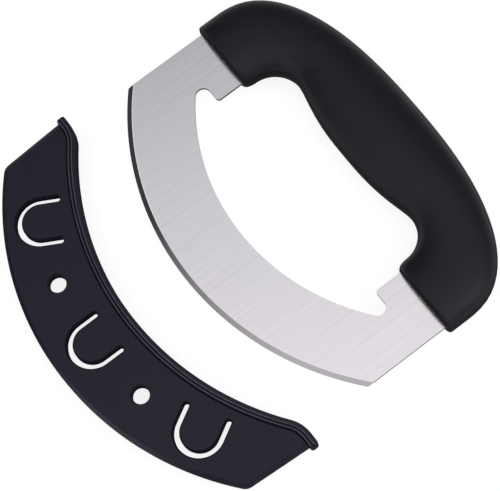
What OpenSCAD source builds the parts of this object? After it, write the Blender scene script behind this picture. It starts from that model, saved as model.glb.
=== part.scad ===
// A bow-shaped chopping knife with a closed hand grip, and its slip-on blade cover.
// The knife lies flat: X runs along the edge chord, +Y from the edge to the grip, +Z up.
// The cover lies in the plane of the blade, pulled straight off the edge.

/* [Blade] */
// Chord between the two tips of the cutting edge
blade_len = 168; // [150:1:210]
// Radius of the cutting edge
edge_r = 129; // [115:1:170]
// Height of the blade band, from the edge to the hollow back, at the middle
band_w = 29.8; // [24:0.1:34]
// Thickness of the steel sheet
blade_t = 1.6; // [1:0.1:3]
// Width of the ground bevel on each side of the edge
bevel_w = 2.1; // [1:0.1:5]
// Thickness left at the very edge
edge_land = 0.1; // [0.05:0.05:0.3]
// Width of each ear that rises to the handle
ear_w = 29.6; // [22:0.2:36]
// Height of the lower corners of the ears above the tips
ear_low = 26.7; // [20:0.1:32]
// Radius of the hooked notch below each ear
notch_r = 3.5; // [2:0.1:5]
// Depth of that notch past the inner side of the ear
notch_depth = 9.5; // [7:0.1:12]
// Radius of the lower corner of each ear
ear_corner_r = 1.6; // [0.5:0.1:3]

/* [Tangs] */
// Depth to which the full ear enters the leg of the handle
ear_in = 5; // [3:0.5:8]
// Length of the narrower tang above that
tang_len = 17; // [8:0.5:20]
// Step from the side of the ear in to the side of the tang
tang_step = 4; // [2:0.5:6]
// Radius of the corners of the tang
tang_corner_r = 3; // [1:0.5:5]
// Diameter of the anchor holes that the core fills
anchor_d = 6; // [3:0.5:8]
// Distance between the two anchor holes of a tang
anchor_gap = 11; // [9:0.5:13]

/* [Handle] */
// Distance by which each leg reaches past the ear, on its outer and its inner side
leg_over = 2.8; // [2.5:0.1:6]
// Height of the leg ends above the tips of the edge
leg_end = 39.8; // [34:0.1:50]
// Height of the top of the grip above the leg ends
handle_h = 50.5; // [44:0.1:70]
// Straight part of the outer side of each leg
leg_straight = 9.4; // [1:0.1:12]
// Squareness of the outer curve, where 2 is an ellipse
crown_n = 2.4; // [2:0.1:4]
// Height of the finger gap above the leg ends, at its two crests
gap_h = 18; // [15:0.1:24]
// Radius of the upper corners of the finger gap
gap_corner_r = 13.2; // [8:0.1:15]
// Drop of the finger swell between the two crests
swell = 4.6; // [0:0.1:8]
// Outward flare of the inner side of each leg at its end
leg_flare = 1.2; // [0:0.1:1.5]
// Thickness of the grip at the middle
grip_t = 24; // [18:0.5:32]
// Thickness of the legs at their ends
leg_t = 18; // [15:0.5:28]
// Squareness of the section at the middle of the grip
grip_sq = 2.2; // [2:0.1:4]
// Squareness of the section at the leg ends
leg_sq = 2.4; // [2:0.1:6]
// Rounding of the leg ends
end_r = 1.2; // [0.5:0.1:2]
// Depth of the soft skin over the edges of the rigid core
skin = 4; // [3:0.1:5]
// Thickness of the rigid core
core_t = 10; // [7:0.5:11]

/* [Cover] */
// Clearance between the blade and each wall
slot_gap = 0.3; // [0.2:0.05:0.6]
// Thickness of each wall
wall = 1.5; // [1:0.1:2.5]
// Clearance between the seated edge and the floor of the slot
floor_gap = 0.7; // [0.3:0.1:2]
// Height of the solid floor below the edge
floor_w = 2.3; // [1.5:0.1:4]
// Clearance beside each tip of the edge
tip_gap = 0.6; // [0.3:0.1:1.5]
// Thickness of the end walls
end_wall = 2.7; // [1.5:0.1:4]
// Outward slant of the ends, in degrees
end_slant = 3.6; // [0:0.1:5]
// Radius of the lower corners
foot_r = 5; // [3:0.5:9]
// Width of the bevel round the outside of each face
rim_w = 1.6; // [0.5:0.1:2.4]
// Depth of that bevel
rim_d = 1; // [0.3:0.1:1.2]
// Height of the mouth above the back of the seated blade, at the middle
mouth_rise = 5.2; // [3:0.1:9]
// Gap left between the seated cover and the leg ends
leg_gap = 7.4; // [3:0.1:9]
// Radius of the shoulder between the mouth and each flat end
shoulder_r = 15.5; // [10:0.5:22]
// Length of that flat end on the body, beside the lip's overhang
tip_flat = 3.8; // [1:0.1:5]
// Width of the lower step of the lip
lip_w = 4.2; // [3:0.1:6]
// Height of the lower step above each face
lip_h = 0.5; // [0.3:0.1:1]
// Width of the upper step of the lip
bead_w = 2.2; // [1:0.1:3]
// Height of the upper step above the lower one
bead_h = 0.5; // [0.2:0.1:1]
// Overhang of the lip beyond the ends
lip_out = 1.5; // [1:0.1:3]
// Rounding of the tips of the lip
lip_tip_r = 1.4; // [0.5:0.1:1.5]

/* [Holes and tongues of the cover] */
// Distance of the middle of the middle tongue's bend from the seated edge
mid_tongue_in = 15.2; // [13:0.1:18]
// Distance of the middle of each outer tongue's bend from the seated edge
end_tongue_in = 13.3; // [12.5:0.1:18]
// Distance from the middle tongue to each outer one, along the row of the outer ones
tongue_step = 59.8; // [50:0.1:62]
// Distance of the middle of each round hole from the seated edge
hole_in = 14.5; // [9:0.1:20]
// Distance from the middle tongue to each round hole, along the row of holes
hole_step = 30.5; // [25:0.1:35]
// Diameter of the round holes
hole_d = 7.3; // [4:0.1:9]
// Width of the U-shaped slots
u_w = 2.4; // [1.5:0.1:3.4]
// Radius of the bend of each slot, along its middle
u_r = 9.4; // [7:0.1:10]
// Straight length of each side of the U
u_leg = 7.9; // [3:0.1:9]
// Width at the faces of the slope round each slot
u_slope = 0.5; // [0.1:0.05:0.8]
// Width at the faces of the slope round each hole
hole_slope = 0.6; // [0.1:0.05:0.9]
// Depth of those slopes
slope_d = 1.1; // [0.3:0.1:1.2]

/* [Place] */
// Distance by which the cover is pulled off the blade
pull_off = 62; // [40:1:90]

/* [Hidden] */
$fn = 96;
// Facets of the long arcs, and of small circles
long_arc = 360;
small_circle = 48;
// Larger than anything in the drawing
big = 400;
// Depth by which one arc runs past the line or arc that it blends into, for a clean join
bite = 0.01;
// Spare height of the rough shapes, which is cut away
trim = 3;
// Depth by which each tang runs down into its ear
sunk = 1;
half_len = blade_len / 2;
edge_cy = sqrt(edge_r * edge_r - half_len * half_len);
ear_x = half_len - ear_w;
notch_y = ear_low - notch_r;
notch_x = ear_x + notch_depth - notch_r;
// The hollow back runs through its lowest point and blends into both notches
back_y = edge_cy - edge_r + band_w;
back_r = blend_radius([notch_x, notch_y], notch_r - bite, back_y);
back_cy = back_y + back_r;
tang_mid = half_len - ear_w / 2;
tang_w = ear_w - 2 * tang_step;
tang_y = leg_end + ear_in;
half_w = half_len + leg_over;
gap_w = 2 * (ear_x - leg_over);
crown_y = leg_end + leg_straight;
crown_h = handle_h - leg_straight;
handle_top = leg_end + handle_h;
corner_x = gap_w / 2 - gap_corner_r;
corner_y = leg_end + gap_h - gap_corner_r;
// How the swell rises from each crest to the middle, and how fast each leg flares
swell_rise = 2.8;
swell_fall = 1.5;
flare_power = 1.5;
slot_w = blade_t + 2 * slot_gap;
cover_t = slot_w + 2 * wall;
floor_r = edge_r + floor_gap;
cover_r = floor_r + floor_w;
pocket_x = half_len + tip_gap;
cover_x = pocket_x + end_wall / cos(end_slant);
mouth_top = leg_end - leg_gap;
shoulder_y = mouth_top - shoulder_r + bite;
shoulder_x = cover_x + mouth_top * tan(end_slant) - tip_flat;
// The mouth runs through its lowest point and blends into both shoulders
mouth_y = back_y + mouth_rise;
mouth_r = blend_radius([shoulder_x, shoulder_y], bite - shoulder_r, mouth_y);
mouth_cy = mouth_y + mouth_r;
shoulder_turn = atan2(shoulder_x, mouth_cy - shoulder_y);
mid_row_r = edge_r - mid_tongue_in;
end_row_r = edge_r - end_tongue_in;
tongue_turn = tongue_step / end_row_r * 180 / PI;
hole_row_r = edge_r - hole_in;
hole_turn = hole_step / hole_row_r * 180 / PI;
up = [sin(end_slant), cos(end_slant)];
out = [cos(end_slant), -sin(end_slant)];
foot = line_meets_circle([cover_x, 0] - (foot_r - bite) * out, up, [0, edge_cy], cover_r - foot_r + bite);
foot_turn = atan2(foot.x, edge_cy - foot.y);
cover_low = edge_cy - cover_r - pull_off;
chord_y = -(cover_low + handle_top) / 2;
mid_z = max(grip_t, leg_t) / 2;

// Lower of the two points where the line from p along d meets the circle round c
function line_meets_circle(p, d, c, r) =
    let (q = p - c, b = q * d)
    p + d * (-b - sqrt(b * b - q * q + r * r));

// Radius of an arc through [0, low] that blends into the circle of radius r round c.
// A positive r lies inside the arc and a negative one outside it.
function blend_radius(c, r, low) =
    (c.x * c.x + pow(c.y - low, 2) - r * r) / (2 * (c.y - low - r));

function mix(a, b, t) = a + (b - a) * t;
function ease(t) = t * t * (3 - 2 * t);
function signed_pow(v, p) = sign(v) * pow(abs(v), p);

// Places a shape in the blade's own frame, from the middle of the edge chord
module at_blade()
    translate([0, chord_y, mid_z])
    children();

// Places a shape made on the seated cover where the pulled-off cover lies
module at_cover()
    translate([0, chord_y - pull_off, mid_z])
    children();

// Blade: a sheet with a hollow back, hooked notches, ears and tangs, ground to an edge
module ground_disc()
    translate([0, edge_cy, 0])
    rotate_extrude($fn = long_arc)
    polygon([
        [0, -blade_t / 2],
        [edge_r - bevel_w, -blade_t / 2],
        [edge_r, -edge_land / 2],
        [edge_r, edge_land / 2],
        [edge_r - bevel_w, blade_t / 2],
        [0, blade_t / 2]
    ]);

module tang() {
    translate([tang_mid - tang_w / 2, tang_y - sunk])
        square([tang_w, tang_len + sunk - tang_corner_r]);
    translate([tang_mid - tang_w / 2 + tang_corner_r, tang_y])
        square([tang_w - 2 * tang_corner_r, tang_len]);
    for (side = [-1, 1])
        translate([tang_mid + side * (tang_w / 2 - tang_corner_r), tang_y + tang_len - tang_corner_r])
            circle(tang_corner_r);
}

module back_sector()
    intersection() {
        translate([0, back_cy])
            circle(back_r, $fn = long_arc);
        polygon([
            [0, back_cy],
            [-notch_x * 2, back_cy - (back_cy - notch_y) * 2],
            [notch_x * 2, back_cy - (back_cy - notch_y) * 2]
        ]);
        translate([-big / 2, ear_low - big])
            square(big);
    }

module finger_gap() {
    back_sector();
    translate([-notch_x, notch_y])
        square([2 * notch_x, notch_r]);
    translate([-ear_x, ear_low - notch_r])
        square([2 * ear_x, big]);
    for (side = [-1, 1]) {
        translate([side * notch_x, notch_y])
            circle(notch_r);
        difference() {
            translate([side * (ear_x + ear_corner_r / 2), ear_low + ear_corner_r / 2])
                square(ear_corner_r, center = true);
            translate([side * (ear_x + ear_corner_r), ear_low + ear_corner_r])
                circle(ear_corner_r);
        }
    }
}

module blade_outline()
    difference() {
        union() {
            translate([-half_len, edge_cy - edge_r])
                square([blade_len, tang_y - edge_cy + edge_r]);
            tang();
            mirror([1, 0])
                tang();
        }
        finger_gap();
        for (side = [-1, 1])
            for (step = [-1, 1])
                translate([side * tang_mid + step * anchor_gap / 2, tang_y + tang_len / 2])
                    circle(d = anchor_d, $fn = small_circle);
    }

module blade_solid()
    at_blade()
    intersection() {
        ground_disc();
        linear_extrude(2 * blade_t, center = true)
            blade_outline();
    }

module blade()
    color("silver")
    blade_solid();

// Handle: sections from the leg end, round the corner of the finger gap and along the grip.
// A station is [point on the outer side, point on the inner side, progress from leg to middle].
// Steps along the leg, the corner and half the grip, of the skin and of the core
skin_steps = [3, 9, 8];
core_steps = [2, 8, 6];
end_steps = 3;
sides = 32;

function crown_at(x) =
    crown_y + crown_h * pow(1 - pow(abs(x) / half_w, crown_n), 1 / crown_n);
function side_at(y) =
    y <= crown_y ? half_w : half_w * pow(1 - pow((y - crown_y) / crown_h, crown_n), 1 / crown_n);
function swell_at(x) =
    leg_end + gap_h - swell * pow(1 - pow(abs(x) / corner_x, swell_rise), swell_fall);
function beyond(p) =
    p.y <= crown_y ? p.x > half_w
                   : pow(p.x / half_w, crown_n) + pow((p.y - crown_y) / crown_h, crown_n) > 1;
function ray_out(a, near, far, tries = 24) =
    let (m = (near + far) / 2, p = [corner_x, corner_y] + m * [cos(a), sin(a)])
    tries == 0 ? p : beyond(p) ? ray_out(a, near, m, tries - 1) : ray_out(a, m, far, tries - 1);

function leg_station(y, v) =
    let (flare = leg_flare * pow(max(0, corner_y - y) / (corner_y - leg_end), flare_power))
    [[side_at(y), y], [gap_w / 2 + flare, y], v];
function corner_station(a, v) =
    [ray_out(a, gap_corner_r, 2 * half_w), [corner_x, corner_y] + gap_corner_r * [cos(a), sin(a)], v];
function grip_station(x, v) =
    [[x, crown_at(x)], [x, swell_at(x)], v];

function half_stations(from_y, steps) =
    let (leg = steps.x, corner = steps.y, grip = steps.z, all = leg + corner + grip)
    [
        for (i = [0 : leg - 1])
            leg_station(mix(from_y, corner_y, i / leg), i / all),
        for (i = [0 : corner - 1])
            corner_station(90 * i / corner, (leg + i) / all),
        for (i = [0 : grip])
            grip_station(corner_x * (1 - i / grip), (leg + corner + i) / all)
    ];

function flipped(s) = [[-s[0].x, s[0].y], [-s[1].x, s[1].y], s[2]];
function both_halves(half) =
    [for (s = half) s, for (i = [len(half) - 2 : -1 : 0]) flipped(half[i])];

// One ring of points round a section, drawn in by a given depth
function ring(s, depth = 0, lift = 0) =
    let (
        across = s[0] - s[1],
        w = norm(across) / 2 - depth,
        h = mix(leg_t, grip_t, ease(s[2])) / 2 - depth,
        power = 2 / mix(leg_sq, grip_sq, ease(s[2])),
        middle = (s[0] + s[1]) / 2 + [0, lift],
        axis = across / norm(across)
    )
    [
        for (j = [0 : sides - 1])
            let (
                a = 360 * j / sides,
                p = middle + axis * w * signed_pow(cos(a), power)
            )
            [p.x, p.y, h * signed_pow(sin(a), power)]
    ];

// The rings that round off an end, from its face inwards
function end_rings(s) =
    [
        for (i = [0 : end_steps - 1])
            let (a = 90 * i / end_steps)
            ring(s, end_r * (1 - sin(a)), end_r * (1 - cos(a)))
    ];

module loft(rings) {
    n = len(rings);
    m = len(rings[0]);
    polyhedron(
        points = [for (r = rings) each r],
        faces = [
            [for (j = [0 : m - 1]) j],
            [for (j = [m - 1 : -1 : 0]) (n - 1) * m + j],
            for (i = [0 : n - 2])
                for (j = [0 : m - 1])
                    let (k = (j + 1) % m)
                    each [
                        [i * m + j, (i + 1) * m + j, (i + 1) * m + k],
                        [i * m + j, (i + 1) * m + k, i * m + k]
                    ]
        ]
    );
}

function reversed(list) = [for (i = [len(list) - 1 : -1 : 0]) list[i]];

module handle_body() {
    rows = both_halves(half_stations(leg_end + end_r, skin_steps));
    first = leg_station(leg_end, 0);
    at_blade()
        loft(concat(end_rings(first), [for (s = rows) ring(s)], reversed(end_rings(flipped(first)))));
}

module core_body() {
    rows = both_halves(half_stations(leg_end + skin, core_steps));
    outer = [for (s = rows) s[0] - skin * (s[0] - s[1]) / norm(s[0] - s[1])];
    inner = [for (s = rows) s[1] + skin * (s[0] - s[1]) / norm(s[0] - s[1])];
    at_blade()
        linear_extrude(core_t, center = true)
        polygon(concat(outer, reversed(inner)));
}

module handle_core()
    color("dimgray")
    difference() {
        core_body();
        blade_solid();
    }

module handle_grip()
    color([0.15, 0.15, 0.17])
    difference() {
        handle_body();
        core_body();
        blade_solid();
    }

// Cover: a flat crescent sheath, drawn here as it sits on the blade
function rim_profile(from, to) = [
    [from, -cover_t / 2],
    [to - rim_w, -cover_t / 2],
    [to, -cover_t / 2 + rim_d],
    [to, cover_t / 2 - rim_d],
    [to - rim_w, cover_t / 2],
    [from, cover_t / 2]
];

module crescent_sector()
    translate([0, edge_cy, 0])
    rotate([0, 0, -90 - foot_turn])
    rotate_extrude(angle = 2 * foot_turn, $fn = long_arc)
    polygon(rim_profile(edge_r / 2, cover_r));

module foot_corner()
    translate([foot.x, foot.y, 0])
    rotate_extrude($fn = small_circle)
    polygon(rim_profile(0, foot_r));

module slanted_end()
    translate([foot.x, foot.y, 0])
    rotate([0, 0, -end_slant])
    rotate([-90, 0, 0])
    linear_extrude(mouth_top + trim - foot.y)
    polygon(rim_profile(0, foot_r));

// The closed crescent before its mouth is cut: arc, rounded lower corners and slanted ends
module blank()
    hull() {
        crescent_sector();
        foot_corner();
        slanted_end();
        mirror([1, 0, 0]) {
            foot_corner();
            slanted_end();
        }
    }

// Everything above the mouth line, or above a line that runs a given depth below it
module above_mouth(depth) {
    translate([0, mouth_cy])
        circle(mouth_r + depth, $fn = long_arc);
    translate([-big / 2, mouth_top - depth])
        square([big, depth + 2 * trim]);
    for (side = [0, 1])
        mirror([side, 0])
            difference() {
                translate([shoulder_x, shoulder_y])
                    polygon([[0, 0], [0, 2 * shoulder_r],
                        2 * shoulder_r * [-sin(shoulder_turn), cos(shoulder_turn)]]);
                translate([shoulder_x, shoulder_y])
                    circle(shoulder_r - depth);
            }
}

// The strip between two slanted ends, which stand a given distance out from the cover's own
module between_ends(grow) {
    at_low = cover_x + grow / cos(end_slant) - big * tan(end_slant);
    at_high = cover_x + grow / cos(end_slant) + big * tan(end_slant);
    polygon([[-at_low, -big], [at_low, -big], [at_high, big], [-at_high, big]]);
}

module lip_step(width, height, overhang)
    linear_extrude(height, center = true)
    intersection() {
        above_mouth(width);
        between_ends(overhang);
        translate([-big / 2, 0])
            square([big, mouth_top + trim]);
    }

// What rounds the upper or the lower tip of the lip, drawn at the right-hand end
module lip_tip_cut(y, up_or_down) {
    x = cover_x + lip_out / cos(end_slant) + y * tan(end_slant);
    translate([x, y])
        difference() {
            translate([-lip_tip_r, up_or_down > 0 ? -lip_tip_r : -trim])
                square([lip_tip_r + trim, lip_tip_r + trim]);
            translate([bite - lip_tip_r, up_or_down * (bite - lip_tip_r)])
                circle(lip_tip_r, $fn = small_circle);
        }
}

module pocket()
    linear_extrude(slot_w, center = true)
    intersection() {
        translate([0, edge_cy])
            circle(floor_r, $fn = long_arc);
        between_ends(-end_wall);
    }

// Section of a slot or hole from its middle, with a given half width that a slope widens at both faces
function cut_profile(half, slope) =
    let (face = cover_t / 2, wide = half + 2 * slope)
    [
        [0, -face - slope_d],
        [wide, -face - slope_d],
        [half, -face + slope_d],
        [half, face - slope_d],
        [wide, face + slope_d],
        [0, face + slope_d]
    ];

module slot_profile() {
    polygon(cut_profile(u_w / 2, u_slope));
    mirror([1, 0])
        polygon(cut_profile(u_w / 2, u_slope));
}

module u_slot() {
    rotate([0, 0, 180])
        rotate_extrude(angle = 180)
        translate([u_r, 0])
        slot_profile();
    for (side = [-1, 1])
        translate([side * u_r, 0, 0]) {
            translate([0, u_leg, 0])
                rotate([90, 0, 0])
                linear_extrude(u_leg)
                slot_profile();
            translate([0, u_leg, 0])
                rotate_extrude($fn = small_circle)
                polygon(cut_profile(u_w / 2, u_slope));
        }
}

module round_hole()
    rotate_extrude()
    polygon(cut_profile(hole_d / 2, hole_slope));

// Places a shape at a given distance and turn from the centre of the edge
module on_row(r, turn)
    translate([0, edge_cy, 0])
    rotate([0, 0, turn])
    translate([0, -r, 0])
    children();

module blade_cover()
    color([0.16, 0.16, 0.19])
    at_cover()
    difference() {
        union() {
            blank();
            lip_step(lip_w, cover_t + 2 * lip_h, lip_out);
            lip_step(bead_w, cover_t + 2 * lip_h + 2 * bead_h, lip_out);
        }
        linear_extrude(2 * cover_t, center = true) {
            above_mouth(0);
            for (side = [0, 1])
                mirror([side, 0]) {
                    lip_tip_cut(mouth_top, 1);
                    lip_tip_cut(mouth_top - lip_w, -1);
                }
        }
        pocket();
        on_row(mid_row_r, 0)
            u_slot();
        for (side = [-1, 1]) {
            on_row(end_row_r, side * tongue_turn)
                u_slot();
            on_row(hole_row_r, side * hole_turn)
                round_hole();
        }
    }

blade();
handle_core();
handle_grip();
blade_cover();
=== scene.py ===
"""A bow-shaped chopping knife with a closed hand grip, and its slip-on blade cover.

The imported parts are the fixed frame: X runs along the chord of the edge, +Y from the edge to the
grip and +Z up, in metres. The soft grip and the moulded cover are modelled here at those sizes,
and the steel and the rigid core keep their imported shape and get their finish.
"""
import math

import bmesh
import bpy
from mathutils import Matrix, Vector


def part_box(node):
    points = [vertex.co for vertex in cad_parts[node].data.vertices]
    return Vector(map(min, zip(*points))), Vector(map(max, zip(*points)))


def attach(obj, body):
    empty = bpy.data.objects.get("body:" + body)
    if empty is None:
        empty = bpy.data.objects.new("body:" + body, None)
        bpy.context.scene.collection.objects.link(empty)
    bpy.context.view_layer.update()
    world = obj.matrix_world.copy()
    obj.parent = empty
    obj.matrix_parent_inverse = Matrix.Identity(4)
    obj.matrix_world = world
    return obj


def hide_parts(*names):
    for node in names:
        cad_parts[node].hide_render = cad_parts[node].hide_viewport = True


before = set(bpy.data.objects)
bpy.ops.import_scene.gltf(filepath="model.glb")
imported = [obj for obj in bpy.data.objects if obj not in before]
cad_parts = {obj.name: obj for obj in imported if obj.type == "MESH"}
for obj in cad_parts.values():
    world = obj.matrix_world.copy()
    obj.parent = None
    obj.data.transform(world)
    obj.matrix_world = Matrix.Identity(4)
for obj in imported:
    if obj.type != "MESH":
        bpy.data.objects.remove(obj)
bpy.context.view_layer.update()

bl_info = {
    "name": "Chopping Knife and Cover",
    "version": (1, 0, 0),
    "blender": (4, 5, 0),
    "location": "View3D > Sidebar > Knife",
    "description": "Models and finishes a bow-shaped chopping knife with its blade cover",
    "category": "Add Mesh",
}

MM = 0.001
BLADE_LOW, BLADE_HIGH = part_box("blade")
GRIP_LOW, GRIP_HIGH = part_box("handle_grip")
COVER_LOW, COVER_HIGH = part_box("blade_cover")
# The flat of the blade, half way up the object
MID_Z = (BLADE_LOW.z + BLADE_HIGH.z) / 2
TINY = 1e-6


def plain(name, text, default, low, high, **kind):
    """A property that holds a number, plain or of a given kind."""
    return bpy.props.FloatProperty(
        name=name, description=text, default=default, min=low, max=high, **kind)


def length(name, text, default, high=1.0):
    """A property that holds a length in metres."""
    return plain(name, text, default, 0.0, high, unit="LENGTH", subtype="DISTANCE", precision=5)


def share(name, text, default):
    """A property that holds a share from 0 to 1."""
    return plain(name, text, default, 0.0, 1.0, subtype="FACTOR")


def angle(name, text, degrees):
    """A property that holds an angle, given in degrees."""
    return plain(name, text, math.radians(degrees), -math.pi, math.pi, subtype="ANGLE", unit="ROTATION")


def tint(name, text, default):
    """A property that holds a linear colour."""
    return bpy.props.FloatVectorProperty(
        name=name, description=text, default=default, size=3, min=0.0, max=1.0, subtype="COLOR")


def place(name, text, default):
    """A property that holds a point in metres."""
    return bpy.props.FloatVectorProperty(
        name=name, description=text, default=default, size=3, unit="LENGTH",
        subtype="TRANSLATION", precision=5)


class BladeSettings(bpy.types.PropertyGroup):
    """Sizes and colours of the steel"""

    edge_radius: length("Edge radius", "Radius of the cutting edge", 129.0 * MM)
    bevel_width: length("Bevel width", "Width of the ground bevel along the edge", 2.1 * MM)
    steel: tint("Steel", "Colour of the brushed flats", (0.70, 0.685, 0.725))
    ground: tint("Ground bevel", "Colour of the ground bevel", (0.37, 0.36, 0.385))
    polish: share("Bevel polish", "How much smoother the bevel is than the flats", 0.08)
    # the near-black colour of the cut sides is painted shade
    cut: tint("Cut sides", "Colour of the stamped sides of the sheet", (0.07, 0.065, 0.065))
    roughness: share("Roughness", "Roughness of the brushed flats", 0.18)
    line_width: length("Line width", "Width of the brushed lines", 0.16 * MM)
    line_length: length("Line length", "Length of the brushed lines", 36.0 * MM)


class GripSettings(bpy.types.PropertyGroup):
    """Sizes and colours of the soft hand grip"""

    leg_thickness: length("Leg thickness", "Thickness of each leg at its end", 18.0 * MM)
    leg_straight: length("Straight side", "Straight part of the outer side of each leg", 9.4 * MM)
    crown_squareness: plain(
        "Crown", "Squareness of the outer curve, where 2 is an ellipse", 2.4, 2.0, 4.0)
    gap_width: length("Gap width", "Width of the finger gap between the legs", 103.2 * MM)
    gap_height: length("Gap height", "Height of the finger gap at its two crests", 18.0 * MM)
    gap_corner: length("Gap corner", "Radius of the upper corners of the finger gap", 13.2 * MM)
    swell: length("Swell", "Drop of the finger swell between the crests", 4.6 * MM)
    leg_flare: length("Leg flare", "Outward flare of the inner side of each leg", 1.2 * MM)
    grip_squareness: plain("Grip section", "Squareness of the section at the middle", 2.2, 2.0, 4.0)
    leg_squareness: plain("Leg section", "Squareness of the section at the leg ends", 2.4, 2.0, 6.0)
    end_rounding: length("End rounding", "Rounding of the leg ends", 1.2 * MM)
    sides: bpy.props.IntProperty(
        name="Sides", description="Points round each section", default=72, min=16, max=128)
    soft: tint("Soft skin", "Colour of the soft skin", (0.0090, 0.0082, 0.0135))
    core: tint("Core", "Colour of the rigid core", (0.05, 0.05, 0.06))
    roughness: share("Roughness", "Roughness of the soft skin", 0.50)
    grain: length("Grain", "Size of the fine grain in the skin", 0.45 * MM)


class CoverSettings(bpy.types.PropertyGroup):
    """Sizes and colours of the blade cover"""

    outer_radius: length("Outer radius", "Radius of the lower side", 132.0 * MM)
    band: length("Band", "Height from the lower side to the mouth, at the middle", 38.0 * MM)
    thickness: length("Thickness", "Thickness of the body", 5.2 * MM)
    slot: length("Slot", "Width of the slot that takes the blade", 2.2 * MM)
    floor: length("Floor", "Solid height below the slot", 2.3 * MM)
    end_wall: length("End wall", "Thickness of the end walls", 2.7 * MM)
    half_width: length("Half width", "Half the width at the height of the edge tips", 87.305 * MM)
    tips: length("Tips", "Height of the edge tips above the lower side, when seated", 34.097 * MM)
    end_slant: angle("End slant", "Outward slant of the ends", 3.6)
    foot_radius: length("Lower corners", "Radius of the lower corners", 5.0 * MM)
    rim_width: length("Rim width", "Width of the bevel round each face", 1.6 * MM)
    rim_depth: length("Rim depth", "Depth of that bevel", 1.0 * MM)
    shoulder_radius: length("Shoulder", "Radius between the mouth and each flat end", 15.5 * MM)
    tip_flat: length("Flat end", "Length of each flat end on the body", 3.8 * MM)
    lip_width: length("Lip width", "Width of the beaded lip along the mouth", 3.9 * MM)
    lip_sunk: length("Lip groove", "Distance from the mouth to the bevel beside the lip", 2.8 * MM)
    lip_tip: length("Lip tip", "Rounding of the tips of the lip", 1.4 * MM)
    slot_corner: length("Slot corner", "Radius of the lower corners of the blade's slot", 2.0 * MM)
    mid_row: length("Middle row", "From the edge's centre to the bend of the middle tongue", 113.8 * MM)
    end_row: length("End row", "From the edge's centre to the bend of each outer tongue", 115.7 * MM)
    tongue_step: length("Tongue step", "Distance from the middle tongue to each outer one", 59.8 * MM)
    hole_row: length("Hole row", "From the edge's centre to the holes", 114.5 * MM)
    hole_step: length("Hole step", "Distance from the middle tongue to each hole", 30.5 * MM)
    hole_diameter: length("Hole", "Diameter of the round holes", 7.3 * MM)
    slot_width: length("Slot width", "Width of the U-shaped slots", 2.4 * MM)
    bend_radius: length("Bend radius", "Radius of each U, along its middle", 9.4 * MM)
    straight: length("Straight", "Straight length of each side of the U", 7.9 * MM)
    slot_slope: length("Slot slope", "Width at the faces of the slope round each slot", 0.5 * MM)
    hole_slope: length("Hole slope", "Width at the faces of the slope round each hole", 0.6 * MM)
    slope_depth: length("Slope depth", "Depth of those slopes", 1.1 * MM)
    soft_edge: length("Soft edge", "Rounding where those slopes meet the faces", 0.25 * MM)
    plastic: tint("Plastic", "Colour of the moulded plastic", (0.0135, 0.0122, 0.0245))
    # a painted highlight along the crests of the lip
    painted_highlight: tint("Lip_highlight", "Colour of the rubbed crests of the lip", (0.115, 0.11, 0.135))
    roughness: share("Roughness", "Roughness of the moulded plastic", 0.30)
    grain: length("Grain", "Size of the fine texture of the mould", 0.25 * MM)


class StageSettings(bpy.types.PropertyGroup):
    """Floor, light and camera"""

    floor_size: length("Floor size", "Side of the floor", 12.0, high=50.0)
    floor_tone: share("Floor tone", "How pale the floor is under the lamps", 0.30)
    floor_lift: share("Floor lift", "What brings the floor to white where it is seen", 0.84)
    overhead: plain("Overhead light", "Strength of the plain light from above", 1.22, 0.0, 4.0)
    side: plain("Side light", "Strength of the plain light from the sides", 0.10, 0.0, 4.0)
    key: plain("Key lamp", "Strength of the large lamp in front of the edge", 2.4, 0.0, 20.0)
    fill: plain("Fill lamp", "Strength of the lamp beside the handle", 3.0, 0.0, 20.0)
    camera_at: place("Camera", "Where the camera stands", (0.2328, -0.07377, 0.68747))
    look_at: place("Aim", "Point at the middle of the picture", (0.00617, 0.00150, 0.0118))
    roll: angle("Roll", "Turn of the camera about its line of sight", 19.354)
    focal: plain("Focal length", "In millimetres, on a sensor 36 mm wide", 124.3, 20.0, 300.0)


# Node trees


def new_group(name, inputs, outputs):
    """A shader node group with inputs (name, kind, default) and outputs (name, kind).
    Returns its tree, what it is given and its results."""
    tree = bpy.data.node_groups.new(name, "ShaderNodeTree")
    for label, kind, default in inputs:
        socket = tree.interface.new_socket(label, in_out="INPUT", socket_type="NodeSocket" + kind)
        if default is not None:
            socket.default_value = default
    for label, kind in outputs:
        tree.interface.new_socket(label, in_out="OUTPUT", socket_type="NodeSocket" + kind)
    given = tree.nodes.new("NodeGroupInput").outputs
    return tree, given, tree.nodes.new("NodeGroupOutput").inputs


def put(tree, kind, options=(), **inputs):
    """Adds a node, sets its options and fills its inputs with values or with other nodes' outputs.
    An input is named by its label, with spaces as underscores, or by its number, as in_0."""
    node = tree.nodes.new("ShaderNode" + kind)
    for option, value in dict(options).items():
        setattr(node, option, value)
    for key, value in inputs.items():
        if key.startswith("in_"):
            socket = node.inputs[int(key[3:])]
        else:
            socket = node.inputs[key.replace("_", " ")]
        if isinstance(value, bpy.types.NodeSocket):
            tree.links.new(value, socket)
        else:
            socket.default_value = value
    return node


def math_of(tree, operation, a, b=0.0, clamp=False):
    """The result of one Math node."""
    kind = {"operation": operation, "use_clamp": clamp}
    return put(tree, "Math", kind, in_0=a, in_1=b).outputs[0]


def product(tree, a, b):
    """Two values multiplied."""
    return math_of(tree, "MULTIPLY", a, b)


def spread(tree, value, low, high, to_low=0.0, to_high=1.0, smooth=False):
    """A value mapped from one range to another, held at the ends."""
    kind = "SMOOTHSTEP" if smooth else "LINEAR"
    node = put(tree, "MapRange", {"interpolation_type": kind}, Value=value, From_Min=low,
               From_Max=high, To_Min=to_low, To_Max=to_high)
    return node.outputs[0]


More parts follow.
